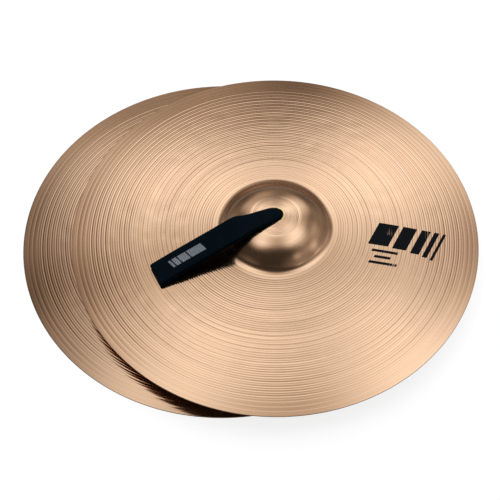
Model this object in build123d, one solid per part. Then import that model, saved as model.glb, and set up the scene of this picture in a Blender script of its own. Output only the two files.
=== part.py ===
from build123d import *
import os
from math import cos, radians, sin

# A pair of 16 inch hand cymbals, nested bell-up, each with a webbing hand strap held inside its bell
# by a felt washer, a steel disc and a cross pin. Sizes are millimetres. Z is up and the origin is the
# middle of the floor under the pair: +X runs from the lower cymbal's side to the upper one's.

# Cymbal: a spun bronze sheet, whose outer face is four arcs from the axis to the rim.
rim_radius = 203.2  # 16 inches across
metal = 1.05
rim_lip = 0.9  # height of the outer face's last point above the rim's flat foot
hole_radius = 7.5
edge_rounding = 0.3
crown_radius, crown_slope = 100.0, 17.5
shoulder_radius, shoulder_slope = 46.0, 48.0
neck_radius, bow_slope_at_bell = 13.0, 3.0
bow_slope_at_rim = 13.0

# How the pair is stacked, from the lower cymbal to the upper one.
nest_across, nest_forward, nest_rise = 52.0, 14.0, 27.0
lower_strap_direction, upper_strap_direction = -15.0, 205.2  # degrees from +X

# Retaining hardware inside each bell.
washer_radius, washer_depth = 22.0, 5.0
disc_radius, disc_depth = 21.0, 1.5
passage_radius = 8.25  # hole through the washer and the disc
pin_radius, pin_length = 3.0, 34.0
contact_gap = 0.05
turning_gap = 0.1

# Webbing strap: one band, folded narrow through the hole and open above it.
webbing_width, ply = 25.0, 1.8
neck_width, neck_depth = 12.0, 6.4
eye_radius = 5.2
pivot_above_crown = 2.1  # the loop's folding line, above the top of the crown
pivot_gap = 0.4
tongue_depth = 3.2
narrow_until, full_width_from = 6.0, 34.0  # distances from the axis along the strap
thread = 0.3


def arc_ends(radius, slope_in, slope_out, start):
    """Middle and end of an arc that turns from one downward slope to another, from start (r, z)."""
    side = 1 if slope_out > slope_in else -1  # 1 bulges up, -1 is hollow
    first = radians(slope_in)

    def at(slope):
        turn = radians(slope)
        run = side * radius * (sin(turn) - sin(first))
        drop = side * radius * (cos(first) - cos(turn))
        return (start[0] + run, start[1] - drop)

    return at((slope_in + slope_out) / 2), at(slope_out)


def bell_bends(inset):
    """Radius and final slope of the crown, shoulder and neck arcs of the face inset below the outer one."""
    return [
        (crown_radius - inset, crown_slope),
        (shoulder_radius - inset, shoulder_slope),
        (neck_radius + inset, bow_slope_at_bell),
    ]


def face_points(top, inset):
    """Corner and middle points of one face's section, from the axis (0, top) out to the rim."""
    points, slope = [(0.0, top)], 0.0
    for radius, slope_out in bell_bends(inset):
        points += arc_ends(radius, slope, slope_out, points[-1])
        slope = slope_out
    points += arc_ends(bow_radius - inset, slope, bow_slope_at_rim, points[-1])
    return points


def bell_base():
    """Radius and depth below the crown of the point where the bell meets the bow."""
    point, slope = (0.0, 0.0), 0.0
    for radius, slope_out in bell_bends(0):
        point = arc_ends(radius, slope, slope_out, point)[1]
        slope = slope_out
    return point


bow_start = bell_base()
bow_turn = sin(radians(bow_slope_at_rim)) - sin(radians(bow_slope_at_bell))
bow_radius = (rim_radius - bow_start[0]) / bow_turn
bow_end = arc_ends(bow_radius, bow_slope_at_bell, bow_slope_at_rim, bow_start)[1]
crown_height = rim_lip - bow_end[1]

inner_crown = crown_height - metal
washer_bottom = inner_crown - washer_depth
disc_top = washer_bottom - turning_gap
disc_bottom = disc_top - disc_depth
pin_height = disc_bottom - pin_radius - contact_gap
pivot_height = crown_height + pivot_above_crown


def arcs_through(points):
    """Tangent arcs through start, middle, end, middle, end and so on."""
    return [ThreePointArc(*points[i : i + 3]) for i in range(0, len(points) - 2, 2)]


def turned(section):
    """A solid turned about Z from a section drawn as (radius, height)."""
    return revolve(Plane.XZ * section, Axis.Z)


def cymbal():
    """Bell, bow and rim in one sheet, with a rounded centre hole and a flat foot round the rim."""
    outer = face_points(crown_height, 0)
    inner = face_points(inner_crown, metal)
    below = -1.0
    edges = arcs_through(outer)
    edges += Polyline(outer[-1], (rim_radius, below), (inner[-1][0], below), inner[-1]).edges()
    edges += arcs_through(inner)
    edges += [Line(inner[0], outer[0])]
    section = make_face(edges)
    section -= Pos(rim_radius, below / 2) * Rectangle(4 * metal, -below)
    section -= Pos(0, crown_height) * Rectangle(2 * hole_radius, 4 * metal)
    rounded = [
        v
        for v in section.vertices()
        if abs(v.X - hole_radius) < 0.01 or (abs(v.X - rim_radius) < 0.01 and v.Y > rim_lip / 2)
    ]
    return turned(fillet(rounded, edge_rounding))


def felt_washer():
    """Felt pad whose top follows the inside of the crown."""
    dome = face_points(inner_crown - contact_gap, metal + contact_gap)
    edges = arcs_through(dome[:5])
    edges += Polyline(dome[4], (dome[4][0], 0), (0, 0), dome[0]).edges()
    section = make_face(edges)
    keep = Rectangle(
        washer_radius - passage_radius, washer_depth, align=(Align.MIN, Align.MIN)
    )
    return turned(section & Pos(passage_radius, washer_bottom) * keep)


def retaining_disc():
    """Flat steel disc under the felt, with eased edges."""
    disc = Cylinder(disc_radius, disc_depth) - Cylinder(passage_radius, disc_depth)
    disc = chamfer(disc.edges().filter_by(GeomType.CIRCLE), edge_rounding)
    return Pos(0, 0, (disc_top + disc_bottom) / 2) * disc


def cross_pin():
    """Steel pin across the disc's hole, which the strap's sewn eye hangs on."""
    pin = Cylinder(pin_radius, pin_length)
    pin = chamfer(pin.edges().filter_by(GeomType.CIRCLE), 2 * edge_rounding)
    return Pos(0, 0, pin_height) * Rot(90, 0, 0) * pin


def upright_bar(depth, width, bottom, top):
    """Box on the axis from one height to another: depth is along the strap, width across it."""
    return Pos(0, 0, (bottom + top) / 2) * Box(depth, width, top - bottom)


def across(radius, width, height):
    """Round bar across the strap on the axis, at a height."""
    return Pos(0, 0, height) * Rot(90, 0, 0) * Cylinder(radius, width)


def strap_neck():
    """The strap's folded legs: the eye round the pin, the part in the hole, and the fold above it."""
    shoulder = crown_height + contact_gap
    neck = upright_bar(neck_depth, neck_width, pin_height, shoulder)
    neck += upright_bar(tongue_depth, neck_width, shoulder, pivot_height)
    neck += across(tongue_depth / 2, neck_width, pivot_height)
    neck += across(eye_radius, neck_width, pin_height)
    return neck - across(pin_radius + contact_gap, 2 * neck_width, pin_height)


def eye_stitching():
    """Two bars of thread that close the eye, one on each outer face of the legs."""
    height, width, below_crown = 3.0, 9.0, 2.6
    bar = Box(thread, width, height)
    offset = (neck_depth + thread) / 2
    middle = inner_crown - below_crown
    return Pos(offset, 0, middle) * bar + Pos(-offset, 0, middle) * bar


def webbing_outline():
    """The strap from above: narrow where it leaves the hole, then its full width."""
    end = rim_radius
    half_narrow, half_full = neck_width / 2, webbing_width / 2
    near = [(-end, half_narrow), (narrow_until, half_narrow), (full_width_from, half_full)]
    side = near + [(end, half_full)]
    mirrored = [(x, -y) for x, y in reversed(side)]
    return make_face(Polyline(*side, *mirrored, close=True))


def strap_loop(corners, radii):
    """The hand loop: a band of webbing along a side-view path, clear of the neck it folds on."""
    path = FilletPolyline(*corners, radius=radii)
    band = Plane.XZ * trace(path, line_width=ply)
    loop = extrude(band, webbing_width / 2, both=True)
    loop &= extrude(webbing_outline(), 2 * pivot_height)
    clear = pivot_gap + tongue_depth / 2
    return loop - across(clear, 2 * webbing_width, pivot_height)


def loop_stitching(start, end, over, under):
    """Two thread panels that sew the plies together beside the hole, over and under them."""
    width = 11.0
    panel = Box(end - start, width, thread)
    middle = (start + end) / 2
    return Pos(middle, 0, over + thread / 2) * panel + Pos(middle, 0, under - thread / 2) * panel


# Side-view paths of the two hand loops, from the hole out along the top ply and back underneath.
first, bar_end = 2.0, 18.0  # where the plies start, and the end of their sewn stretch
top_ply, bottom_ply = pivot_height + ply / 2, pivot_height - ply / 2
touching = 0.02  # keeps the sewn plies apart as one band, not two faces in contact

flat_loop_corners = [
    (first, top_ply + touching),
    (bar_end, top_ply + touching),
    (27.0, top_ply + 0.9),
    (46.0, top_ply - 0.6),
    (62.0, top_ply - 5.6),
    (108.0, 26.9),
    (129.5, 19.7),
    (129.5, 15.6),
    (108.0, 21.7),
    (60.0, top_ply - 9.4),
    (44.0, top_ply - 4.2),
    (bar_end, bottom_ply),
    (first, bottom_ply),
]
flat_loop_radii = [40, 30, 30, 30, 60, 1.8, 1.8, 60, 30, 40, 20]

open_loop_corners = [
    (first, top_ply + touching),
    (bar_end, top_ply + touching),
    (60.0, top_ply + 0.8),
    (125.5, top_ply - 4.6),
    (123.5, 15.0),
    (46.0, 35.6),
    (bar_end, bottom_ply),
    (first, bottom_ply),
]
open_loop_radii = [40, 60, 12.5, 11.0, 60, 20]


def strap_pieces(loop_corners, loop_radii):
    """Every piece of one strap and its hardware, in the strap's own frame: +X is along the strap."""
    tack_start, tack_end = 6.5, 14.0
    return {
        "retaining_disc": retaining_disc(),
        "cross_pin": cross_pin(),
        "strap_neck": strap_neck(),
        "eye_stitching": eye_stitching(),
        "strap_loop": strap_loop(loop_corners, loop_radii),
        "loop_stitching": loop_stitching(
            tack_start, tack_end, top_ply + touching + ply / 2, bottom_ply - ply / 2
        ),
    }


def hand_cymbal(place, strap_direction, loop_corners, loop_radii):
    """One cymbal with its strap, placed by its axis and the height of its rim."""
    pieces = {"cymbal": cymbal(), "felt_washer": felt_washer()}
    turn = Rot(0, 0, strap_direction)
    for name, piece in strap_pieces(loop_corners, loop_radii).items():
        pieces[name] = turn * piece
    return {name: place * piece for name, piece in pieces.items()}


lower_place = Pos(-nest_across / 2, nest_forward / 2, 0)
upper_place = Pos(nest_across / 2, -nest_forward / 2, nest_rise)
pair = {
    "lower": hand_cymbal(lower_place, lower_strap_direction, open_loop_corners, open_loop_radii),
    "upper": hand_cymbal(upper_place, upper_strap_direction, flat_loop_corners, flat_loop_radii),
}

os.makedirs("parts", exist_ok=True)
for which, pieces in pair.items():
    for name, piece in pieces.items():
        export_step(piece, f"parts/{which}_{name}.step")
print("crown height", round(crown_height, 3), "pivot height", round(pivot_height, 3))
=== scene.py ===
import math

import bpy
import numpy as np
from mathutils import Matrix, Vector


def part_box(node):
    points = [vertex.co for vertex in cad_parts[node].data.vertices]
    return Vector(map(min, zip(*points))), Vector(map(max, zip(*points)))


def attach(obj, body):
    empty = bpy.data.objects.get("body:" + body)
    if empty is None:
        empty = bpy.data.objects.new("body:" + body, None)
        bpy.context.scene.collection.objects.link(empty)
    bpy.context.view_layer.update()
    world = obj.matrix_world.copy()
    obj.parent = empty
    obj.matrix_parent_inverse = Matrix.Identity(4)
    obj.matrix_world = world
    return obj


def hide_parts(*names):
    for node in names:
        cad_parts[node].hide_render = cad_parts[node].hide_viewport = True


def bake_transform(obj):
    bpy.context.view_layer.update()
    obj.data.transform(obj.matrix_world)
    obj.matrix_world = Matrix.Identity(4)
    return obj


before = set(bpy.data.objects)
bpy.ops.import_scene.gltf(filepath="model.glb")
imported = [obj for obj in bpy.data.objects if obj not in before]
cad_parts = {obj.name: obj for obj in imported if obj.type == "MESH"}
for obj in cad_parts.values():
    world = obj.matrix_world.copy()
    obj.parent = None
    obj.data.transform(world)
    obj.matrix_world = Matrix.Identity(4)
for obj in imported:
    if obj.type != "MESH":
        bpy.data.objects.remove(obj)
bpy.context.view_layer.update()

# Looks of a nested pair of 16 inch hand cymbals. Metres, in the row frame: +X runs from the lower
# cymbal's side to the upper one's, and Z is up.

MM = 0.001
PAIR = ("lower", "upper")

# Section of one cymbal: arcs of the outer face as (radius, slope at its outer end, side), where side
# is 1 for an arc that bulges up and -1 for a hollow one. The bow is worked out to reach the rim.
RIM_RADIUS = 203.2 * MM
METAL = 1.05 * MM
RIM_LIP = 0.9 * MM
HOLE_RADIUS = 7.5 * MM
EDGE_ROUNDING = 0.3 * MM
BELL_BENDS = ((100 * MM, 17.5, 1), (46 * MM, 48.0, 1), (13 * MM, 3.0, -1))
BOW_SLOPE_AT_RIM = 13.0

# Lathe grooves: pitch, half width and depth. Deep and shallow ones take turns on the bow, and each deep
# one lies along the bottom of a wide, shallow valley.
BOW_PITCH = 2.33 * MM
DEEP_GROOVE = (0.58 * MM, 0.11 * MM)
SHALLOW_GROOVE = (0.5 * MM, 0.085 * MM)
BOW_GROOVES_FROM, BOW_GROOVES_TO = 62.5 * MM, 187.0 * MM
FULL_DEPTH_FROM = 95.0 * MM
VALLEY_DEPTH = 0.055 * MM
RIM_GROOVE = (0.8 * MM, 0.03 * MM)
RIM_GROOVES_TO = 201.0 * MM
CROWN_PITCH = 1.45 * MM
CROWN_GROOVE = (0.4 * MM, 0.075 * MM)
CROWN_GROOVES_FROM, CROWN_GROOVES_TO = 9.4 * MM, 22.5 * MM
POLISH_STARTS, POLISH_ENDS = (22.5 * MM, 25 * MM), (59 * MM, 62 * MM)
UNDER_PITCH = 4.66 * MM
UNDER_GROOVE = (0.7 * MM, 0.08 * MM)
# Painted shade: the underside's grooves are darkened in colour by this share.
UNDER_GROOVE_SHADE = 0.6  # how dark its grooves are, as a share of the outer face's darkest
SEGMENTS = 200

# How one groove differs from the next: a sideways shift, shares of the usual depth, and a slow wave of
# its depth round the cymbal. The valleys reach their full depth at a radius on the bow.
GROOVE_SHIFT = 0.12 * MM
GROOVE_SHARES, VALLEY_SHARES = (0.75, 1.1), (0.6, 1.2)
GROOVE_WAVE = 0.16
VALLEYS_DEEPEST_FROM = 165 * MM

# Hammer marks, pressed into both faces in rings round the bow.
HAMMER_RINGS = tuple(radius * MM for radius in (97, 108, 119, 131, 143, 154, 165))
HAMMER_SPACING = 21 * MM
HAMMER_DEPTH = 0.085 * MM
HAMMER_WIDTH = 3.8 * MM
HAMMER_SHIFT, HAMMER_SCATTER = 0.35, 3 * MM  # along the ring as a share of the spacing, and off the ring
HAMMER_WIDTH_SHARES, HAMMER_DEPTH_SHARES = (0.7, 1.25), (0.3, 1.3)

# Strap: one band of ribbed webbing, whose middle line is a closed side view in (along, up).
PLY = 1.8 * MM
PIVOT_ABOVE_CROWN = 2.1 * MM
RIB_PITCH = 2.15 * MM
RIB_DEPTH = 0.2 * MM
RIB_SAMPLES = 8

RANDOM = np.random.default_rng(1616)


# ---------------------------------------------------------------- node materials


class Material:
    """A node material under construction, with short calls for the nodes that it needs."""

    def __init__(self, name):
        self.material = bpy.data.materials.new(name)
        self.material.use_nodes = True
        self.tree = self.material.node_tree
        self.shader = self.tree.nodes["Principled BSDF"]

    def add(self, kind, **settings):
        node = self.tree.nodes.new("ShaderNode" + kind)
        for name, value in settings.items():
            setattr(node, name, value)
        return node

    def plug(self, socket, value):
        """Links an output to a socket, or sets a constant on it."""
        if isinstance(value, bpy.types.NodeSocket):
            self.tree.links.new(value, socket)
        else:
            socket.default_value = value

    def calc(self, operation, *values):
        """One Math node."""
        node = self.add("Math", operation=operation)
        for socket, value in zip(node.inputs, values):
            self.plug(socket, value)
        return node.outputs[0]

    def ramp(self, value, low, high, to_low=0.0, to_high=1.0):
        """Maps low..high to to_low..to_high smoothly, and holds the ends."""
        node = self.add("MapRange", interpolation_type="SMOOTHSTEP")
        for socket, amount in zip(node.inputs, (value, low, high, to_low, to_high)):
            self.plug(socket, amount)
        return node.outputs[0]

    def blend(self, share, low, high):
        """Colour between low and high."""
        node = self.add("Mix", data_type="RGBA")
        self.plug(node.inputs[0], share)
        self.plug(node.inputs[6], low)
        self.plug(node.inputs[7], high)
        return node.outputs[2]

    def noise_along(self, value, per_unit, detail=2.0):
        """Noise of one variable, for lines that run the other way."""
        node = self.add("TexNoise", noise_dimensions="1D")
        self.plug(node.inputs["W"], value)
        node.inputs["Scale"].default_value = per_unit
        node.inputs["Detail"].default_value = detail
        return node.outputs["Fac"]

    def noise(self, vector, per_unit, detail=3.0):
        node = self.add("TexNoise")
        self.plug(node.inputs["Vector"], vector)
        node.inputs["Scale"].default_value = per_unit
        node.inputs["Detail"].default_value = detail
        return node.outputs["Fac"]

    def attribute(self, name):
        return self.add("Attribute", attribute_name=name).outputs["Fac"]

    def bump(self, height, distance, strength=1.0, under=None):
        node = self.add("Bump")
        node.inputs["Strength"].default_value = strength
        node.inputs["Distance"].default_value = distance
        self.plug(node.inputs["Height"], height)
        if under is not None:
            self.plug(node.inputs["Normal"], under)
        return node.outputs["Normal"]

    def set(self, **sockets):
        """Principled sockets by name, with _ for a space."""
        for name, value in sockets.items():
            self.plug(self.shader.inputs[name.replace("_", " ")], value)
        return self.material


def colour(red, green, blue):
    return (red, green, blue, 1.0)


def polar(material, centre=(0.0, 0.0, 0.0)):
    """Object coordinates from a centre, and the distance from the upright axis through it, in mm."""
    place = material.add("TexCoord").outputs["Object"]
    offset = material.add("VectorMath", operation="SUBTRACT")
    material.plug(offset.inputs[0], place)
    offset.inputs[1].default_value = centre
    flat = material.add("VectorMath", operation="MULTIPLY")
    material.plug(flat.inputs[0], offset.outputs[0])
    flat.inputs[1].default_value = (1000, 1000, 0)
    length = material.add("VectorMath", operation="LENGTH")
    material.plug(length.inputs[0], flat.outputs[0])
    return offset.outputs[0], length.outputs["Value"]


def spun_bronze(name, shade_tone, left_shade):
    """Bronze turned on a lathe: fine rings, groove bottoms darkened as painted shade, a polished bell, a dull
    underside darkened as painted shade, and a painted highlight as a yellowish line round the hole. The
    tone scales its colours, and the last argument is how far its left side is darkened as painted shade."""
    groove_shade, underside_shade, under_dulling = 0.6, 0.8, 0.45
    left, shade_from, shade_to = (-1.0, -0.2, 0.0), 100 * MM, 185 * MM
    hole_highlight_ends = (8.3, 8.9)

    # Every colour is scaled by the tone, which is lowered on the lower cymbal as painted shade.
    def shade(*levels):
        return colour(*(shade_tone * level for level in levels))

    m = Material(name)
    place, radius = polar(m)
    groove, polish, under = m.attribute("groove"), m.attribute("polish"), m.attribute("under")
    fine = m.noise_along(radius, 2.3, 2.0)
    broad = m.noise_along(radius, 0.32, 2.0)
    smoky = m.noise(place, 9.0, 4.0)
    base = m.blend(m.ramp(broad, 0.35, 0.65), shade(0.88, 0.56, 0.33), shade(0.82, 0.52, 0.305))
    base = m.blend(m.ramp(smoky, 0.45, 0.75, 0.0, 0.3), base, shade(0.74, 0.47, 0.30))
    base = m.blend(m.ramp(fine, 0.3, 0.7, 0.25, 0.0), base, shade(0.66, 0.42, 0.27))
    # Painted shade: the groove bottoms are darkened in colour by their depth.
    base = m.blend(m.calc("MULTIPLY", groove, groove_shade), base, shade(0.33, 0.19, 0.105))
    # Painted shade: the whole underside is darkened in colour.
    base = m.blend(m.calc("MULTIPLY", under, underside_shade), base, shade(0.22, 0.14, 0.09))
    # Painted shade: the left side is darkened, from 100 to 185 mm left of the axis.
    leftward = m.add("VectorMath", operation="DOT_PRODUCT")
    m.plug(leftward.inputs[0], place)
    leftward.inputs[1].default_value = left
    shaded_left = m.ramp(leftward.outputs["Value"], shade_from, shade_to, 0.0, left_shade)
    base = m.blend(shaded_left, base, shade(0.42, 0.26, 0.155))
    # Painted highlight: a bright yellow ring of colour round the hole's edge.
    base = m.blend(m.ramp(radius, *hole_highlight_ends[::-1]), base, colour(0.93, 0.80, 0.30))
    turned = m.ramp(fine, 0.25, 0.75, 0.10, 0.15)
    smudge = m.ramp(smoky, 0.4, 0.7, 0.0, 0.03)
    polished = m.ramp(fine, 0.2, 0.8, 0.17, 0.20)
    dull = m.calc("MULTIPLY", under, under_dulling)
    rough = m.add("Mix")
    m.plug(rough.inputs[0], polish)
    m.plug(rough.inputs[2], m.calc("ADD", m.calc("ADD", turned, smudge), dull))
    m.plug(rough.inputs[3], polished)
    lines = m.calc("MULTIPLY", fine, m.calc("SUBTRACT", 1.0, m.calc("MULTIPLY", polish, 0.85)))
    tangent = m.add("Tangent", direction_type="RADIAL", axis="Z")
    return m.set(
        Base_Color=base,
        Metallic=1.0,
        Roughness=rough.outputs[0],
        Anisotropic=0.45,
        Anisotropic_Rotation=0.25,
        Tangent=tangent.outputs[0],
        Normal=m.bump(lines, 0.012 * MM, 0.3),
    )


def bow_ink(name):
    """Black ink printed on the lathed bow, worn through to the metal on some ridges."""
    m = Material(name)
    place, radius = polar(m)
    ridge = m.ramp(m.noise_along(radius, 1.3, 1.0), 0.60, 0.66)
    patch = m.ramp(m.noise(place, 55.0, 2.0), 0.58, 0.70)
    wear_and_highlight = m.calc("MULTIPLY", ridge, patch)
    speck = m.noise(place, 900.0, 2.0)
    ink = m.blend(m.ramp(speck, 0.35, 0.7), colour(0.002, 0.003, 0.005), colour(0.006, 0.008, 0.011))
    return m.set(
        Base_Color=m.blend(wear_and_highlight, ink, colour(0.80, 0.55, 0.36)),
        Metallic=wear_and_highlight,
        Roughness=m.ramp(speck, 0.3, 0.7, 0.34, 0.5),
        Specular_IOR_Level=0.08,
        Normal=m.bump(speck, 0.01 * MM, 0.4),
    )


def woven_webbing(name, dark, light, print_layer=False):
    """Ribbed nylon: yarn ends across each rib, set off by half a yarn from one rib to the next, and paler
    in patches on the rib crests as a painted highlight."""
    yarn_pitch = 0.95
    m = Material(name)
    along, across = m.attribute("along"), m.attribute("across")
    rib = m.calc("DIVIDE", along, RIB_PITCH / MM)
    odd = m.calc("MULTIPLY", m.calc("FLOOR", rib), math.pi)
    yarn = m.calc("SINE", m.calc("ADD", m.calc("MULTIPLY", across, 2 * math.pi / yarn_pitch), odd))
    place = m.add("TexCoord").outputs["Object"]
    fuzz = m.noise(place, 2600.0, 3.0)
    fade = m.noise(place, 60.0, 3.0)
    crest = m.calc("ABSOLUTE", m.calc("SINE", m.calc("MULTIPLY", rib, math.pi)))
    # Painted highlight: the rib crests are made paler, in patches.
    wear_and_highlight = m.calc("MULTIPLY", m.ramp(crest, 0.55, 1.0), m.ramp(fade, 0.3, 0.7, 0.3, 0.9))
    share = m.calc("ADD", m.ramp(yarn, -1.0, 1.0, 0.0, 0.2), wear_and_highlight)
    height = m.calc("ADD", m.calc("MULTIPLY", yarn, 0.5), fuzz)
    return m.set(
        Base_Color=m.blend(share, dark, light),
        Roughness=m.ramp(fuzz, 0.3, 0.7, 0.62, 0.85),
        Specular_IOR_Level=0.35 if print_layer else 0.14,
        Specular_Tint=colour(1, 1, 1) if print_layer else colour(0.3, 0.72, 1.0),
        Sheen_Weight=0.0 if print_layer else 0.03,
        Sheen_Roughness=0.4,
        Normal=m.bump(height, 0.09 * MM, 0.8),
    )


def sewing_thread(name):
    """Twisted black polyester thread."""
    m = Material(name)
    place = m.add("TexCoord").outputs["Object"]
    twist = m.add("TexWave", wave_type="BANDS", bands_direction="DIAGONAL")
    m.plug(twist.inputs["Vector"], place)
    twist.inputs["Scale"].default_value = 700.0
    twist.inputs["Distortion"].default_value = 1.5
    strand = twist.outputs["Fac"]
    return m.set(
        Base_Color=m.blend(strand, colour(0.004, 0.006, 0.009), colour(0.014, 0.018, 0.024)),
        Roughness=m.ramp(strand, 0.0, 1.0, 0.75, 0.5),
        Specular_IOR_Level=0.3,
        Normal=m.bump(strand, 0.05 * MM, 0.7),
    )


def pressed_felt(name):
    """Charcoal wool felt: matted fibres with paler flecks."""
    m = Material(name)
    place = m.add("TexCoord").outputs["Object"]
    matted = m.noise(place, 420.0, 6.0)
    fleck = m.ramp(m.noise(place, 1500.0, 2.0), 0.58, 0.72)
    base = m.blend(m.ramp(matted, 0.3, 0.7), colour(0.012, 0.012, 0.013), colour(0.045, 0.044, 0.046))
    return m.set(
        Base_Color=m.blend(m.calc("MULTIPLY", fleck, 0.5), base, colour(0.16, 0.15, 0.15)),
        Roughness=m.ramp(matted, 0.2, 0.8, 0.88, 1.0),
        Specular_IOR_Level=0.1,
        Sheen_Weight=0.35,
        Sheen_Roughness=0.6,
        Normal=m.bump(matted, 0.5 * MM, 0.9),
    )


def turned_steel(name, centre):
    """Zinc-plated steel with turning rings about an upright axis, and dull rubbed spots."""
    m = Material(name)
    place, radius = polar(m, centre)
    rings = m.noise_along(radius, 4.0, 3.0)
    rubbed = m.noise(place, 160.0, 4.0)
    base = m.blend(m.ramp(rings, 0.3, 0.7), colour(0.46, 0.47, 0.48), colour(0.60, 0.61, 0.62))
    return m.set(
        Base_Color=m.blend(m.ramp(rubbed, 0.5, 0.7, 0.0, 0.6), base, colour(0.33, 0.33, 0.34)),
        Metallic=1.0,
        Roughness=m.calc("ADD", m.ramp(rings, 0.2, 0.8, 0.22, 0.34), m.ramp(rubbed, 0.4, 0.7, 0.0, 0.15)),
        Normal=m.bump(rings, 0.02 * MM, 0.6),
    )


def drawn_steel(name, centre):
    """Drawn steel rod: fine lines along it, and duller patches."""
    m = Material(name)
    place, _ = polar(m, centre)
    stretch = m.add("VectorMath", operation="MULTIPLY")
    m.plug(stretch.inputs[0], place)
    stretch.inputs[1].default_value = (0.2, 0.2, 3.0)
    drawn = m.noise(stretch.outputs[0], 900.0, 4.0)
    rubbed = m.noise(place, 250.0, 3.0)
    return m.set(
        Base_Color=m.blend(m.ramp(drawn, 0.3, 0.7), colour(0.42, 0.43, 0.44), colour(0.62, 0.62, 0.63)),
        Metallic=1.0,
        Roughness=m.calc("ADD", m.ramp(drawn, 0.2, 0.8, 0.2, 0.32), m.ramp(rubbed, 0.4, 0.7, 0.0, 0.15)),
        Normal=m.bump(drawn, 0.015 * MM, 0.6),
    )


# ---------------------------------------------------------------- meshes


def new_piece(name, points, faces, material, sharp_angle=40.0, **attributes):
    """A smooth-shaded mesh object, with point attributes by name."""
    mesh = bpy.data.meshes.new(name)
    faces = faces.tolist() if isinstance(faces, np.ndarray) else faces
    mesh.from_pydata(np.asarray(points).tolist(), [], faces)
    mesh.polygons.foreach_set("use_smooth", np.ones(len(mesh.polygons), bool))
    mesh.set_sharp_from_angle(angle=math.radians(sharp_angle))
    for attribute, values in attributes.items():
        layer = mesh.attributes.new(attribute, "FLOAT", "POINT")
        layer.data.foreach_set("value", np.asarray(values, np.float32).ravel())
    mesh.materials.append(material)
    piece = bpy.data.objects.new(name, mesh)
    bpy.context.scene.collection.objects.link(piece)
    return piece


def grid_faces(rows, columns, rows_close=False, columns_close=False):
    """Quads over a grid of points stored row by row, which may close on itself either way."""
    row = np.arange(rows if rows_close else rows - 1)[:, None]
    column = np.arange(columns if columns_close else columns - 1)[None, :]
    next_row, next_column = (row + 1) % rows, (column + 1) % columns
    corners = (
        row * columns + column,
        next_row * columns + column,
        next_row * columns + next_column,
        row * columns + next_column,
    )
    return np.stack(corners, -1).reshape(-1, 4)


def smooth_step(value, low, high):
    """0 up to low, 1 from high, and an S-shaped rise between them."""
    share = np.clip((value - low) / (high - low), 0.0, 1.0)
    return share * share * (3 - 2 * share)


# ---------------------------------------------------------------- one cymbal's shape


def face_arcs():
    """The outer face as arcs of (start radius, start drop, arc radius, side, first slope, last slope),
    and the height of its crown."""
    arcs, start, drop, slope = [], 0.0, 0.0, 0.0
    last = math.radians(BOW_SLOPE_AT_RIM)
    for radius, degrees, side in BELL_BENDS:
        bend = math.radians(degrees)
        arcs.append((start, drop, radius, side, slope, bend))
        start += side * radius * (math.sin(bend) - math.sin(slope))
        drop += side * radius * (math.cos(slope) - math.cos(bend))
        slope = bend
    radius = (RIM_RADIUS - start) / (math.sin(last) - math.sin(slope))
    arcs.append((start, drop, radius, 1, slope, last))
    drop += radius * (math.cos(slope) - math.cos(last))
    return arcs, RIM_LIP + drop


FACE_ARCS, CROWN_HEIGHT = face_arcs()


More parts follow.
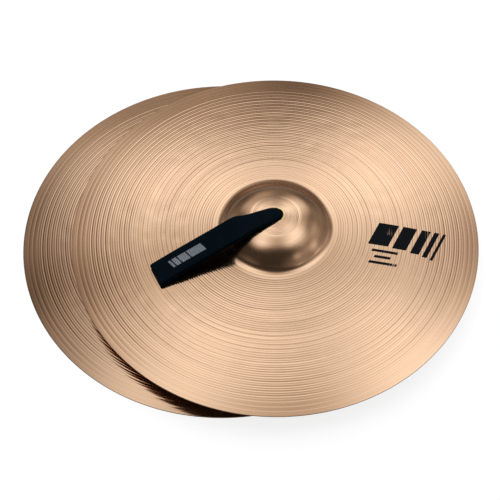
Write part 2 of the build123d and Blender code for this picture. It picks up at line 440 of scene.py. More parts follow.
class CymbalShape:
    """The two faces of one cymbal, with its own grooves and hammer marks, about its own axis."""

    def __init__(self):
        self.arcs = FACE_ARCS
        self.grooves, self.valleys = self.groove_plan()
        count = len(self.grooves)
        self.waves = RANDOM.integers(1, 6, (count, 2))
        self.phases = RANDOM.uniform(0, 2 * math.pi, (count, 2))
        self.dents = self.hammer_marks()

    def slope(self, r):
        """Downward slope of the outer face, in radians."""
        r, found = np.asarray(r, float), 0.0
        for start, _, radius, side, first, _ in self.arcs:
            here = np.arcsin(np.clip(math.sin(first) + side * (r - start) / radius, 0, 1))
            found = np.where(r >= start, here, found)
        return found

    def drop(self, r):
        """Height of the outer face, from 0 at the axis down."""
        r, found = np.asarray(r, float), 0.0
        for start, fallen, radius, side, first, _ in self.arcs:
            slope = np.arcsin(np.clip(math.sin(first) + side * (r - start) / radius, 0, 1))
            here = -fallen - side * radius * (math.cos(first) - np.cos(slope))
            found = np.where(r >= start, here, found)
        return found

    @staticmethod
    def groove_plan():
        """(centre, half width, depth) of each groove of the outer face, from the crown to the rim, and
        the depth of the valley that it lies in."""
        half, depth = CROWN_GROOVE
        plan = [(c, half, depth) for c in np.arange(CROWN_GROOVES_FROM, CROWN_GROOVES_TO, CROWN_PITCH)]
        valleys = [0.0] * len(plan)
        for count, centre in enumerate(np.arange(BOW_GROOVES_FROM, RIM_GROOVES_TO, BOW_PITCH)):
            half, depth = SHALLOW_GROOVE if count % 2 else DEEP_GROOVE
            if centre > BOW_GROOVES_TO:
                half, depth = RIM_GROOVE
            ramp = 0.5 + 0.5 * smooth_step(centre, BOW_GROOVES_FROM, FULL_DEPTH_FROM)
            deepening = smooth_step(centre, BOW_GROOVES_FROM, VALLEYS_DEEPEST_FROM)
            valley = 0.0 if count % 2 else VALLEY_DEPTH * deepening
            centre += RANDOM.uniform(-GROOVE_SHIFT, GROOVE_SHIFT)
            plan.append((centre, half, depth * ramp * RANDOM.uniform(*GROOVE_SHARES)))
            valleys.append(valley * RANDOM.uniform(*VALLEY_SHARES))
        return np.array(plan), np.array(valleys)

    @staticmethod
    def hammer_marks():
        """(x, y, width, depth) of each hammer mark, ring by ring."""
        marks = []
        for ring in HAMMER_RINGS:
            count = int(2 * math.pi * ring / HAMMER_SPACING)
            for step in range(count):
                angle = 2 * math.pi * (step + RANDOM.uniform(-HAMMER_SHIFT, HAMMER_SHIFT)) / count
                radius = ring + RANDOM.normal(0, HAMMER_SCATTER)
                width = HAMMER_WIDTH * RANDOM.uniform(*HAMMER_WIDTH_SHARES)
                depth = HAMMER_DEPTH * RANDOM.uniform(*HAMMER_DEPTH_SHARES)
                marks.append((radius * math.cos(angle), radius * math.sin(angle), width, depth))
        return np.array(marks)

    def groove_depth(self, r, angle):
        """Depth of the outer face's grooves."""
        centres, halves, depths = self.grooves.T
        nearest = np.clip(np.searchsorted((centres[1:] + centres[:-1]) / 2, r), 0, len(centres) - 1)
        share = np.clip(1 - np.abs(r - centres[nearest]) / halves[nearest], 0, 1)
        wave = 1.0
        for turn in range(2):
            wave = wave + GROOVE_WAVE * np.sin(self.waves[nearest, turn] * angle + self.phases[nearest, turn])
        return share * depths[nearest] * wave

    def dent_depth(self, r, angle):
        """Depth of the hammer marks."""
        x, y, total = r * np.cos(angle), r * np.sin(angle), np.zeros(np.broadcast(r, angle).shape)
        for mark_x, mark_y, width, depth in self.dents:
            squared = (x - mark_x) ** 2 + (y - mark_y) ** 2
            total += depth * np.exp(-squared / (2 * width * width))
        return total

    def outer(self, r, angle, lift=0.0):
        """Points of the outer face, raised by lift along its normal."""
        sink = self.groove_depth(r, angle) + self.dent_depth(r, angle) - lift
        sink += np.interp(r, self.grooves[:, 0], self.valleys)
        return self.place(r, angle, sink)

    def place(self, r, angle, sink):
        """Points sunk below the plain outer face along its normal."""
        slope = self.slope(r)
        out = r - sink * np.sin(slope)
        height = CROWN_HEIGHT + self.drop(r) - sink * np.cos(slope)
        return np.stack([out * np.cos(angle), out * np.sin(angle), height + 0 * angle], -1)

    def ring_radii(self):
        """Radii of the outer face's rings: four to a groove, and by slope round the smooth bell."""
        rings = []
        for start, _, radius, side, first, last in self.arcs[:3]:
            steps = max(2, round(math.degrees(abs(last - first)) / 2.2))
            turn = np.linspace(first, last, steps + 1)
            rings += list(start + side * radius * (np.sin(turn) - math.sin(first)))
        smooth_from = CROWN_GROOVES_TO + CROWN_PITCH
        rings = [r for r in rings if smooth_from < r < BOW_GROOVES_FROM - BOW_PITCH]
        centres, halves, _ = self.grooves.T
        rings += list(centres - halves) + list(centres) + list(centres + halves)
        gaps = np.diff(centres)
        rings += list(centres[:-1][gaps < 3 * BOW_PITCH] + gaps[gaps < 3 * BOW_PITCH] / 2)
        rings += list(np.linspace(RIM_GROOVES_TO, RIM_RADIUS - EDGE_ROUNDING, 4))
        rings += [HOLE_RADIUS + EDGE_ROUNDING]
        return np.unique(np.round(rings, 7))

    def under_radii(self):
        """Outer-face radii whose offset points make the underside's rings, from the rim inwards."""
        at_hole = HOLE_RADIUS + METAL * float(np.sin(self.slope(HOLE_RADIUS)))
        bell = []
        for start, _, radius, side, first, last in self.arcs[:3]:
            turn = np.linspace(first, last, max(2, round(math.degrees(abs(last - first)) / 4)) + 1)
            bell += list(start + side * radius * (np.sin(turn) - math.sin(first)))
        bell = [r for r in bell if at_hole < r < BOW_GROOVES_FROM - UNDER_PITCH / 2]
        half = UNDER_GROOVE[0]
        centres = np.arange(BOW_GROOVES_FROM, RIM_GROOVES_TO, UNDER_PITCH)
        rings = [at_hole] + bell
        rings += list(centres - half) + list(centres) + list(centres + half)
        return np.unique(np.round(rings, 7))[::-1], centres

    def under_foot_radius(self):
        """Outer-face radius whose offset point lies in the rim's flat foot."""
        r = np.linspace(RIM_RADIUS - 3 * MM, RIM_RADIUS, 3001)
        height = CROWN_HEIGHT + self.drop(r) - METAL * np.cos(self.slope(r))
        return float(np.interp(0.0, -height, r))

    def mesh(self):
        """Rings of points round the whole section, with each ring's groove, polish and underside values."""
        angle = np.arange(SEGMENTS) * 2 * math.pi / SEGMENTS
        rings, groove, polish, under = [], [], [], []

        def ring(points, deep=0.0, bright=0.0, below=0.0):
            rings.append(points)
            groove.append(np.broadcast_to(deep, SEGMENTS))
            polish.append(np.full(SEGMENTS, bright))
            under.append(np.full(SEGMENTS, below))

        def plain(r, height):
            return np.stack([r * np.cos(angle), r * np.sin(angle), np.full(SEGMENTS, height)], -1)

        def rounding(r, turn):
            """Height and radius on the rounded edge that ends at the face point r; turn is up from level."""
            centre = CROWN_HEIGHT + float(self.drop(r)) - EDGE_ROUNDING
            side = -1 if r < RIM_RADIUS / 2 else 1
            return plain(r + side * EDGE_ROUNDING * math.cos(turn), centre + EDGE_ROUNDING * math.sin(turn))

        hole_edge, rim_edge = HOLE_RADIUS + EDGE_ROUNDING, RIM_RADIUS - EDGE_ROUNDING
        for degrees in (0, 30, 60):
            ring(rounding(hole_edge, math.radians(degrees)))
        for r in self.ring_radii():
            depth = self.groove_depth(np.full(SEGMENTS, r), angle)
            bell = float(smooth_step(r, *POLISH_STARTS) - smooth_step(r, *POLISH_ENDS))
            ring(self.outer(np.full(SEGMENTS, r), angle), depth / DEEP_GROOVE[1], bell)
        for degrees in (60, 30, 0):
            ring(rounding(rim_edge, math.radians(degrees)))
        ring(plain(RIM_RADIUS, 0.0))
        foot = self.under_foot_radius()
        ring(plain(foot - METAL * float(np.sin(self.slope(foot))), 0.0))
        radii, centres = self.under_radii()
        half, deep = UNDER_GROOVE
        for r in radii:
            cut = deep * max(0.0, 1 - np.abs(centres - r).min() / half)
            dent = self.dent_depth(np.full(SEGMENTS, r), angle)
            sink = METAL + dent - cut
            ring(self.place(np.full(SEGMENTS, r), angle, sink), UNDER_GROOVE_SHADE * cut / deep, below=1.0)
        return np.array(rings), np.array(groove), np.array(polish), np.array(under)


def spun_cymbal(which, shape, centre, material):
    """The whole spun sheet of one cymbal."""
    rings, groove, polish, under = shape.mesh()
    faces = grid_faces(len(rings), SEGMENTS, rows_close=True, columns_close=True)
    points = rings.reshape(-1, 3)
    layers = {"groove": groove, "polish": polish, "under": under}
    piece = new_piece(f"{which}_spun_sheet", points, faces, material, **layers)
    piece.location = centre
    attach(piece, f"{which}_cymbal")
    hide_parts(f"{which}_cymbal")


def bow_print(which, shape, centre, material):
    """Generic print on the bow: slanted bars that get thinner outwards, over three short lines."""
    lean, turn = 0.34, math.radians(-7.0)
    middle_x, middle_y = 132, -14
    column_step, row_step, ink_lift = 0.29, 1.1, 0.04 * MM
    bars = [  # first corner along and up, width and height, in mm from the print's middle
        (-40, -9, 20, 27),
        (-16, -10, 14, 28),
        (2, -12, 9, 30),
        (14, -14, 5, 32),
        (22, -16, 3, 34),
        (-36, -17, 26, 3),
        (-33, -24, 16, 3),
        (-38, -31, 28, 3),
    ]
    points, faces, count = [], [], 0
    for first, low, width, height in bars:
        columns, rows = int(width / column_step) + 2, int(height / row_step) + 2
        up = low + np.linspace(0, height, rows)[:, None]
        along = first + np.linspace(0, width, columns)[None, :] + lean * (up - low)
        x = (middle_x + along * math.cos(turn) - up * math.sin(turn)) * MM
        y = (middle_y + along * math.sin(turn) + up * math.cos(turn)) * MM
        points.append(shape.outer(np.hypot(x, y), np.arctan2(y, x), ink_lift).reshape(-1, 3))
        faces.append(grid_faces(rows, columns)[:, ::-1] + count)
        count += rows * columns
    piece = new_piece(f"{which}_bow_print", np.concatenate(points), np.concatenate(faces), material)
    piece.location = centre
    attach(piece, f"{which}_cymbal")


# ---------------------------------------------------------------- one strap's shape

# Corners of a strap's side view: (along the strap, up, bend radius) in mm, from the hole out along the top
# ply and back underneath. The loops' corners lie where the CAD's do.
PIVOT_HEIGHT = CROWN_HEIGHT + PIVOT_ABOVE_CROWN
TOP_PLY, BOTTOM_PLY = PIVOT_HEIGHT / MM + 0.92, PIVOT_HEIGHT / MM - 0.9
PIN = sum(corner.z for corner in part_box("lower_cross_pin")) / 2 / MM
LOOP_CORNERS = {
    "upper": [
        (27.0, TOP_PLY + 0.9, 40),
        (46.0, TOP_PLY - 0.6, 30),
        (62.0, TOP_PLY - 5.6, 30),
        (108.0, 26.9, 30),
        (129.5, 19.7, 1.8),
        (129.5, 15.6, 1.8),
        (108.0, 21.7, 60),
        (60.0, TOP_PLY - 9.4, 30),
        (44.0, TOP_PLY - 4.2, 40),
        (18.0, BOTTOM_PLY, 20),
    ],
    "lower": [
        (60.0, TOP_PLY + 0.8, 60),
        (125.5, TOP_PLY - 4.6, 12.5),
        (123.5, 15.0, 11.0),
        (46.0, 35.6, 60),
        (18.0, BOTTOM_PLY, 20),
    ],
}
LEG, EYE = 1.6, 4.1  # half the distance between the legs, in the hole and round the pin
EYE_CORNERS_UP = [
    (-EYE, PIN - EYE, EYE),
    (-EYE, PIN + 2.5, 3.0),
    (-LEG, PIN + 6.0, 3.0),
]
FOLD_CORNERS = {  # the upper fold bulges over the hole's edge; the lower one has a bell close above it
    "upper": [(-LEG, CROWN_HEIGHT / MM - 0.3, 2.2), (-5.6, TOP_PLY, 1.2)],
    "lower": [(-LEG, TOP_PLY, 2.6)],
}
DOME_FROM = {"upper": -6.0, "lower": -1.7}  # where the crowning of the top ply starts
EYE_CORNERS_DOWN = [
    (LEG, BOTTOM_PLY, 1.4),
    (LEG, PIN + 6.0, 3.0),
    (EYE, PIN + 2.5, 3.0),
    (EYE, PIN - EYE, EYE),
]


def rounded_path(corners, start, step):
    """Points every step along straight runs joined by arcs, from start round the corners and back, with
    their distances along it. All in mm."""
    arc_step, same = 0.1, 1e-9
    path = [np.array(start, float)]
    places = [np.array(start, float)] + [np.array(c[:2], float) for c in corners]
    places.append(places[0])
    for before, here, after, (_, _, radius) in zip(places, places[1:], places[2:], corners):
        into, out = here - before, after - here
        into, out = into / np.linalg.norm(into), out / np.linalg.norm(out)
        turn = math.acos(float(np.clip(into @ out, -1, 1)))
        reach = radius * math.tan(turn / 2)
        first, last = here - into * reach, here + out * reach
        side = np.sign(into[0] * out[1] - into[1] * out[0])
        centre = first + side * radius * np.array([-into[1], into[0]])
        for share in np.linspace(0, 1, max(3, int(turn * radius / arc_step))):
            swing = side * turn * share
            arm = first - centre
            cosine, sine = math.cos(swing), math.sin(swing)
            path.append(centre + [arm[0] * cosine - arm[1] * sine, arm[0] * sine + arm[1] * cosine])
    path.append(places[0])
    path = np.array(path)
    length = np.concatenate([[0], np.cumsum(np.linalg.norm(np.diff(path, axis=0), axis=1))])
    keep = np.concatenate([[True], np.diff(length) > same])
    path, length = path[keep], length[keep]
    count = round(length[-1] / step)
    at = np.arange(count) * length[-1] / count
    return np.stack([np.interp(at, length, path[:, i]) for i in (0, 1)], -1), at


def smoothed(values, samples):
    """A closed row of values averaged over a number of neighbours, twice."""
    for _ in range(2):
        padded = np.concatenate([values[-samples:], values, values[:samples]])
        window = np.ones(2 * samples + 1) / (2 * samples + 1)
        values = np.convolve(padded, window, "valid")
    return values


class Strap:
    """One closed band of webbing in its own frame: x along the strap, y across it, z up."""

    FACE_POINTS = 9

    # By distance from the hole, in mm: the loop's width, its shift sideways and the crowning of its top ply.
    WIDTHS = (-4, -2, 1, 5, 11, 24, 31, 37, 42), (8.4, 11.2, 14.0, 15.8, 16.8, 18.3, 20.0, 23.6, 25.0)
    SHIFTS = (5, 24, 31, 37, 42, 62, 90), (0.6, 0.4, 0.1, -0.9, -0.4, 0.9, 1.4)
    DOMES = (0, 4, 22, 30), (0.9, 1.0, 0.5, 0.1)

    # The legs in the hole, in mm: how far below the pivot they start and how far out they reach, their
    # width, and their thickness round the pin and above it.
    LEG_BELOW_PIVOT, LEG_REACH, LEG_WIDTH = 1.3, 6, 12.2
    ABOVE_PIN, EYE_DEPTH, LEG_DEPTH = 3, 2.05, 2.5

    def __init__(self, which):
        corners = EYE_CORNERS_UP + FOLD_CORNERS[which] + LOOP_CORNERS[which] + EYE_CORNERS_DOWN
        path, at = rounded_path(corners, (0.0, PIN - EYE), RIB_PITCH / MM / RIB_SAMPLES)
        self.at = at * MM
        self.path = path * MM
        ahead = np.roll(path, -1, 0) - np.roll(path, 1, 0)
        ahead /= np.linalg.norm(ahead, axis=1)[:, None]
        self.normal = np.stack([-ahead[:, 1], ahead[:, 0]], -1)
        along, up = path.T
        low = up < PIVOT_HEIGHT / MM - self.LEG_BELOW_PIVOT
        leg = low & (along < self.LEG_REACH)
        width = np.where(leg, self.LEG_WIDTH, np.interp(along, *self.WIDTHS))
        leg_depth = np.where(up < PIN + self.ABOVE_PIN, self.EYE_DEPTH, self.LEG_DEPTH)
        depth = np.where(leg, leg_depth, PLY / MM - RIB_DEPTH / MM / 2)
        domed = (along < self.DOMES[0][-1]) & (along > DOME_FROM[which]) & (up > PIVOT_HEIGHT / MM)
        dome = np.where(domed, np.interp(along, *self.DOMES), 0.0)
        aside = np.interp(along, *self.SHIFTS)
        self.aside = smoothed(np.where(low, 0.0, aside), 8) * MM
        self.half_width = smoothed(width, 3) / 2 * MM
        self.half_depth = smoothed(depth, 6) / 2 * MM
        self.dome = smoothed(dome, 8) * MM
        self.rib = np.abs(np.sin(math.pi * self.at / RIB_PITCH)) ** 0.7 - 0.6

    def sections(self):
        """Points of every cross-section, from the outer face round the edge to the inner face."""
        turn = np.radians([45, 0, -45])
        share = np.linspace(-1, 1, self.FACE_POINTS)
        depth = self.half_depth + RIB_DEPTH * self.rib
        flat = self.half_width + 0.5 * RIB_DEPTH * self.rib - depth
        outer = (share * flat[:, None], depth[:, None] + self.dome[:, None] * (1 - share**2))
        right = (flat[:, None] + depth[:, None] * np.cos(turn), depth[:, None] * np.sin(turn))
        inner = (share[::-1] * flat[:, None], -depth[:, None] + 0 * share)
        left = (-flat[:, None] - depth[:, None] * np.cos(turn), -depth[:, None] * np.sin(turn))
        across = np.concatenate([part[0] for part in (outer, right, inner, left)], 1)
        lift = np.concatenate([part[1] for part in (outer, right, inner, left)], 1)
        return across, lift

    def points(self, across, lift):
        """Places in the strap's frame of points given by section, across and lift from the middle line."""
        place = self.path[:, None, :] + self.normal[:, None, :] * lift[..., None]
        return np.stack([place[..., 0], across + self.aside[:, None], place[..., 1]], -1)

    def surface(self, at, across, lift):
        """Places on the outer face at given lengths along the band, raised by lift."""

        def along(values):
            return np.interp(at, self.at, values)

        depth = along(self.half_depth + RIB_DEPTH * self.rib)
        share = np.clip(across / (along(self.half_width) - depth), -1, 1)
        height = depth + along(self.dome) * (1 - share**2) + lift
        x = along(self.path[:, 0]) + along(self.normal[:, 0]) * height
        z = along(self.path[:, 1]) + along(self.normal[:, 1]) * height
        return np.stack([x, across + along(self.aside), z], -1)

    def length_at(self, along, on_top):
        """Length along the band where its top or bottom ply passes a distance from the hole."""
        past_tip, before_eye = 60, 150  # samples
        half = int(np.argmax(self.path[:, 0]))
        legs = int(np.argmax(self.path[:, 1] > PIVOT_HEIGHT))
        if on_top:
            return float(np.interp(along, self.path[legs:half, 0], self.at[legs:half]))
        back = slice(half + past_tip, len(self.at) - before_eye)
        return float(np.interp(-along, -self.path[back, 0], self.at[back]))


def into_frame(points, centre, degrees):
    """Turns points from a strap's or cymbal's own frame into the row frame."""
    turn = math.radians(degrees)
    x, y, z = np.moveaxis(np.asarray(points), -1, 0)
    turned = (x * math.cos(turn) - y * math.sin(turn), x * math.sin(turn) + y * math.cos(turn), z)
    return np.stack(turned, -1) + np.array(centre)


def webbing(which, strap, centre, degrees, material):
    """The whole strap: eye, folded legs through the hole, and hand loop."""
    across, lift = strap.sections()
    points = into_frame(strap.points(across, lift), centre, degrees)
    rows, columns = across.shape
    faces = grid_faces(rows, columns, rows_close=True, columns_close=True)
    along = np.repeat(strap.at[:, None] / MM, columns, 1)
    piece = new_piece(
        f"{which}_webbing",
        points.reshape(-1, 3),
        faces[:, ::-1],
        material,
        sharp_angle=80.0,
        along=along,
        across=across / MM,
    )
    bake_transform(piece)
    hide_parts(f"{which}_strap_neck", f"{which}_strap_loop")


def strap_print(which, strap, centre, degrees, material):
    """Generic grey print on the hand loop: slanted bars that get thinner outwards."""
    points, faces, count, along, over = [], [], 0, [], []
    lean, half_height, gap, ink_lift = 0.3, 4.6, 1.3, 0.05 * MM
    column_step, rows = 0.2, 9
    start, offset = strap.length_at(78 * MM, on_top=True), 0.0
    for width in (16.0, 9.0, 5.0, 2.5):
        columns = int(width / column_step) + 2
        across = np.linspace(-half_height, half_height, rows)[:, None] * MM
        at = start + (offset + np.linspace(0, width, columns)[None, :]) * MM - lean * across
        points.append(strap.surface(at, across + 0 * at, ink_lift).reshape(-1, 3))
        faces.append(grid_faces(rows, columns) + count)
        along.append((at / MM).ravel())
        over.append((across / MM + 0 * at).ravel())
        count += rows * columns
        offset += width + gap
    piece = new_piece(
        f"{which}_strap_print",
        into_frame(np.concatenate(points), centre, degrees),
        np.concatenate(faces)[:, ::-1],
        material,
        along=np.concatenate(along),
        across=np.concatenate(over),
    )
    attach(piece, f"{which}_hand_loop")


THREAD_RADIUS = 0.2 * MM
STITCH_RISE = (0.02 + 0.2 * np.sin(np.linspace(0, math.pi, 7))) * MM  # over the webbing, end to end


def stitch(route, radius):
    """Points and faces of one stitch: a closed bar of thread along a short route."""
    sides, upright = 6, 1e-3
    route = np.asarray(route)
    ahead = np.gradient(route, axis=0)
    ahead /= np.linalg.norm(ahead, axis=1)[:, None]
    side = np.cross(ahead, (0.0, 0.0, 1.0))
    weak = np.linalg.norm(side, axis=1) < upright
    side[weak] = (0.0, 1.0, 0.0)
    side /= np.linalg.norm(side, axis=1)[:, None]
    up = np.cross(side, ahead)
    turn = np.arange(sides) * 2 * math.pi / sides
    rings = route[:, None, :] + radius * (
        side[:, None, :] * np.cos(turn)[None, :, None] + up[:, None, :] * np.sin(turn)[None, :, None]
    )
    quads = grid_faces(len(route), sides, columns_close=True)
    last = (len(route) - 1) * sides
    caps = [list(range(sides)), list(range(last, last + sides))[::-1]]
    return rings.reshape(-1, 3), quads.tolist() + caps


def thread_piece(name, routes, radius, centre, degrees, material):
    """One piece of many stitches, from their routes in the strap's frame."""
    points, faces, count = [], [], 0
    for route in routes:
        ring_points, quads = stitch(route, radius)
        points.append(ring_points)
        faces += [[corner + count for corner in face] for face in quads]
        count += len(ring_points)
    placed = into_frame(np.concatenate(points), centre, degrees)
    return new_piece(name, placed, faces, material, sharp_angle=180.0)


def loop_stitching(which, strap, centre, degrees, material):
    """Bar tacks through both plies beside the hole, seen over the loop and under it."""
    first_row, last_row, rows = 7.2, 13.4, 5
    first_column, column_gap, columns, row_shift = -4.6, 1.84, 6, 0.4
    reach = np.linspace(-0.8, 0.8, 7) * MM
    slant = np.linspace(-0.12, 0.12, 7) * MM
    routes = []
    for on_top in (True, False):
        for row, along in enumerate(np.linspace(first_row, last_row, rows)):
            at = strap.length_at(along * MM, on_top)
            for column in range(columns):
                middle = (first_column + column * column_gap + row_shift * (row % 2)) * MM
                routes.append(strap.surface(at + slant, middle + reach, STITCH_RISE))
    piece = thread_piece(f"{which}_loop_thread", routes, THREAD_RADIUS, centre, degrees, material)
    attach(piece, f"{which}_hand_loop")
    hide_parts(f"{which}_loop_stitching")


def eye_stitching(which, strap, centre, degrees, material):
    """Rows of thread that close the eye, on both outer faces of the legs inside the bell."""
    lowest_row, highest_row, rows = 38.3, 40.6, 3
    first_column, column_gap, columns, row_shift = -3.6, 1.75, 5, 0.4
    reach = np.linspace(-0.75, 0.75, 7) * MM
    routes = []
    below = strap.path[:, 1] < CROWN_HEIGHT
    going_up = (strap.path[:, 0] < 0) & below
    going_down = (strap.path[:, 0] > 0) & (strap.path[:, 0] < strap.LEG_REACH * MM) & below
    for leg in (going_up, going_down):
        order = np.argsort(strap.path[leg, 1])
        for row, height in enumerate(np.linspace(lowest_row, highest_row, rows)):
            at = float(np.interp(height * MM, strap.path[leg, 1][order], strap.at[leg][order]))
            for column in range(columns):
                middle = (first_column + column * column_gap + row_shift * (row % 2)) * MM
                routes.append(strap.surface(at + 0 * reach, middle + reach, STITCH_RISE))
    piece = thread_piece(f"{which}_eye_thread", routes, THREAD_RADIUS, centre, degrees, material)
    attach(piece, f"{which}_strap_anchor")
    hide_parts(f"{which}_eye_stitching")


# ---------------------------------------------------------------- felt washer


def felt_washer(which, centre, material):
    """A felt pad whose top follows the crown, with soft edges and a matted, uneven surface."""
    inside, side_gap, top_gap, bottom_gap = 8.4 * MM, 0.15 * MM, 0.2 * MM, 0.1 * MM
    soften, roughness, sides, across = 0.6 * MM, 0.035 * MM, 120, 11
    low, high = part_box(f"{which}_felt_washer")
    bottom = low.z - centre[2] + bottom_gap
    outside = (high.x - low.x) / 2 - side_gap
    crown_radius = BELL_BENDS[0][0] - METAL
    top_at_axis = CROWN_HEIGHT - METAL - top_gap

    def top(r):
        return top_at_axis - crown_radius + math.sqrt(crown_radius**2 - r * r)

    section = []
    corners = [(inside, bottom), (inside, top(inside)), (outside, top(outside)), (outside, bottom)]
    for index, corner in enumerate(corners):
        before, after = corners[index - 1], corners[(index + 1) % 4]
        for other, first in ((before, True), (after, False)):
            gap = math.dist(corner, other)
            cut = min(soften, gap / 3) / gap
            near = tuple(c + (o - c) * cut for c, o in zip(corner, other))
            soft = tuple(c + (o - c) * cut * 0.3 for c, o in zip(corner, other))
            section += [near, soft] if first else [soft, near]
        if index in (1, 3):
            span = np.linspace(corner[0], after[0], across)[1:-1]
            section += [(r, top(r) if index == 1 else corner[1]) for r in span]
    angle = np.arange(sides) * 2 * math.pi / sides
    section = np.array(section)
    radius = section[:, :1] + 0 * angle
    points = np.stack([radius * np.cos(angle), radius * np.sin(angle), section[:, 1:] + 0 * radius], -1)
    middle = np.array([(inside + outside) / 2, (bottom - bottom_gap + top(outside)) / 2])
    away = section - middle
    away /= np.linalg.norm(away, axis=1)[:, None]
    rough = RANDOM.normal(0, roughness, radius.shape)
    points[..., 0] -= np.abs(rough) * away[:, :1] * np.cos(angle)
    points[..., 1] -= np.abs(rough) * away[:, :1] * np.sin(angle)
    points[..., 2] -= np.abs(rough) * away[:, 1:]
    faces = grid_faces(len(section), sides, rows_close=True, columns_close=True)
    piece = new_piece(f"{which}_felt", points.reshape(-1, 3), faces, material)
    piece.location = centre
    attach(piece, f"{which}_cymbal")
    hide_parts(f"{which}_felt_washer")


# ---------------------------------------------------------------- studio

CAMERA_AIM = Vector((0.86, -15.6, 20.0)) * MM
CAMERA_ELEVATION = 55.95
CAMERA_DISTANCE = 1.9
CAMERA_LENS, SENSOR_WIDTH = 136.6, 36
FARTHEST_SEEN = 50

# Soft lights of the studio: azimuth from +Y towards +X, elevation and reach in degrees, and radiance.
LIGHTS = (
    (260, 86, 24, 0.6),  # straight above
    (260, 70, 20, 1.2),  # high up, from the left round the back to the right
    (324, 67, 20, 1.1),
    (0, 72, 17, 0.7),
    (40, 64, 24, 1.05),
    (80, 62, 24, 1.0),
    (105, 72, 17, 0.7),
    (343, 46, 17, 1.5),  # behind, at half height
    (0, 44, 16, 0.62),
    (17, 46, 17, 1.3),
    (42, 45, 15, 0.25),
    (333, 29, 15, 0.5),  # behind, lower down
    (349, 23, 15, 0.35),
    (24, 32, 20, 0.9),
    (70, 32, 22, 0.4),
)
WALLS = (  # the same for the dim walls: back, right, camera side and left
    (0, 12, 34, 0.15),
    (50, 12, 34, 0.2),
    (310, 12, 34, 0.15),
    (85, 4, 30, 0.25),
    (105, 32, 34, 0.3),
    (140, 22, 34, 0.15),
    (135, 4, 26, 0.4),
    (180, 2, 26, 0.6),
    (225, 4, 34, 0.3),
    (285, 16, 34, 0.5),
)
LAMPS = (  # the same for three small lamps
    (322, 46, 12, 0.3),
    (95, 24, 14, 0.5),
    (132, 38, 11, 0.4),
)
ROOM_LIGHT = 0.035
WARM_LIGHT, COOL_LIGHT = colour(1.14, 0.98, 0.89), colour(0.94, 1.0, 1.12)  # dim and bright places
WALL_SEEN = colour(0.9, 0.9, 0.9)

FLOOR_HALF, FLOOR_SINK = 4.0, 0.02 * MM
FLOOR_GREY, FLOOR_GLOW_SEEN = 0.45, 0.84


def direction(azimuth, elevation):
    """Unit vector towards a light or the camera."""
    turn, rise = math.radians(azimuth), math.radians(elevation)
    return Vector((math.sin(turn) * math.cos(rise), math.cos(turn) * math.cos(rise), math.sin(rise)))


def set_camera():
    camera = bpy.data.objects.new("camera", bpy.data.cameras.new("camera"))
    bpy.context.scene.collection.objects.link(camera)
    back = direction(180, CAMERA_ELEVATION)
    camera.location = CAMERA_AIM + back * CAMERA_DISTANCE
    camera.rotation_euler = back.to_track_quat("Z", "Y").to_euler()
    camera.data.lens = CAMERA_LENS
    camera.data.sensor_width = SENSOR_WIDTH
    camera.data.clip_end = FARTHEST_SEEN
    bpy.context.scene.camera = camera


def studio_walls():
    """World light: soft glows, cooler where they are bright. The camera itself sees a pale wall."""
    world = bpy.data.worlds.new("studio")
    bpy.context.scene.world = world
    world.use_nodes = True
    nodes, links = world.node_tree.nodes, world.node_tree.links
    nodes.clear()
    aim = nodes.new("ShaderNodeTexCoord").outputs["Generated"]
    total = None
    for azimuth, elevation, reach, radiance in LIGHTS + WALLS + LAMPS:
        dot = nodes.new("ShaderNodeVectorMath")
        dot.operation = "DOT_PRODUCT"
        links.new(aim, dot.inputs[0])
        dot.inputs[1].default_value = direction(azimuth, elevation)
        away = nodes.new("ShaderNodeMath")
        away.operation = "ARCCOSINE"
        links.new(dot.outputs["Value"], away.inputs[0])
        fall = nodes.new("ShaderNodeMapRange")
        fall.interpolation_type = "SMOOTHSTEP"
        links.new(away.outputs[0], fall.inputs[0])
        for socket, value in zip(fall.inputs[1:], (0.0, math.radians(reach), radiance, 0.0)):
            socket.default_value = value
        add = nodes.new("ShaderNodeMath")
        add.operation = "ADD"
        add.inputs[1].default_value = ROOM_LIGHT  # unless the sum of the earlier glows is plugged in
        links.new(fall.outputs[0], add.inputs[0])
        if total is not None:
            links.new(total, add.inputs[1])
        total = add.outputs[0]
    tint = nodes.new("ShaderNodeMix")
    tint.data_type = "RGBA"
    links.new(total, tint.inputs[0])
    tint.inputs[6].default_value = WARM_LIGHT
    tint.inputs[7].default_value = COOL_LIGHT
    glow = nodes.new("ShaderNodeBackground")
    links.new(tint.outputs[2], glow.inputs["Color"])
    links.new(total, glow.inputs["Strength"])
    wall = nodes.new("ShaderNodeBackground")
    wall.inputs["Color"].default_value = WALL_SEEN
    seen = nodes.new("ShaderNodeLightPath")
    mix = nodes.new("ShaderNodeMixShader")
    links.new(seen.outputs["Is Camera Ray"], mix.inputs[0])
    links.new(glow.outputs[0], mix.inputs[1])
    links.new(wall.outputs[0], mix.inputs[2])
    links.new(mix.outputs[0], nodes.new("ShaderNodeOutputWorld").inputs["Surface"])


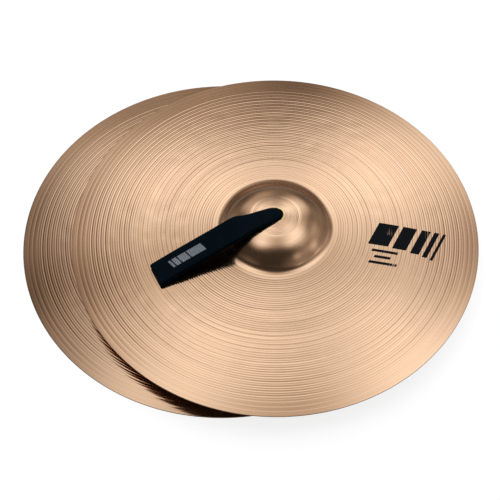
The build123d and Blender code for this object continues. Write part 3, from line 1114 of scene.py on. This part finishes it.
def studio_floor():
    """A plain pale floor, which looks brighter to the camera than the light on it alone makes it."""
    corners = [(x * FLOOR_HALF, y * FLOOR_HALF, 0) for x, y in ((-1, -1), (1, -1), (1, 1), (-1, 1))]
    m = Material("floor_paint")
    seen = m.add("LightPath").outputs["Is Camera Ray"]
    m.set(Base_Color=colour(FLOOR_GREY, FLOOR_GREY, FLOOR_GREY), Roughness=1.0, Specular_IOR_Level=0.0)
    m.set(Emission_Color=colour(1, 1, 1), Emission_Strength=m.calc("MULTIPLY", seen, FLOOR_GLOW_SEEN))
    floor = new_piece("studio_floor", corners, [[0, 1, 2, 3]], m.material)
    floor.location.z = -FLOOR_SINK


set_camera()
studio_walls()
studio_floor()
bpy.context.scene.view_settings.view_transform = "Standard"


# ---------------------------------------------------------------- the pair

STRAP_DIRECTION = {"lower": -15.0, "upper": 205.2}  # degrees from +X
# Painted shade: the lower cymbal's colours are scaled darker than the upper one's.
SHADE_TONE = {"lower": 0.86, "upper": 1.0}
# How far each cymbal's left side is darkened as painted shade.
LEFT_SHADE = {"lower": 0.5, "upper": 0.0}
ink = bow_ink("bow_ink")
thread = sewing_thread("black_thread")
felt = pressed_felt("charcoal_felt")
black = woven_webbing("black_webbing", colour(0.0006, 0.0022, 0.004), colour(0.0045, 0.0125, 0.019))
grey = woven_webbing("strap_ink", colour(0.26, 0.31, 0.33), colour(0.52, 0.57, 0.59), print_layer=True)

for which in PAIR:
    low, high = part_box(f"{which}_cymbal")
    centre = Vector(((low.x + high.x) / 2, (low.y + high.y) / 2, low.z))
    shape = CymbalShape()
    strap = Strap(which)
    degrees = STRAP_DIRECTION[which]
    spun_cymbal(which, shape, centre, spun_bronze(f"{which}_bronze", SHADE_TONE[which], LEFT_SHADE[which]))
    bow_print(which, shape, centre, ink)
    felt_washer(which, centre, felt)
    webbing(which, strap, centre, degrees, black)
    strap_print(which, strap, centre, degrees, grey)
    loop_stitching(which, strap, centre, degrees, thread)
    eye_stitching(which, strap, centre, degrees, thread)
    for node, finish in (("retaining_disc", turned_steel), ("cross_pin", drawn_steel)):
        bottom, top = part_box(f"{which}_{node}")
        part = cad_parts[f"{which}_{node}"]
        part.data.materials.clear()
        part.data.materials.append(finish(f"{which}_{node}_steel", (bottom + top) / 2))
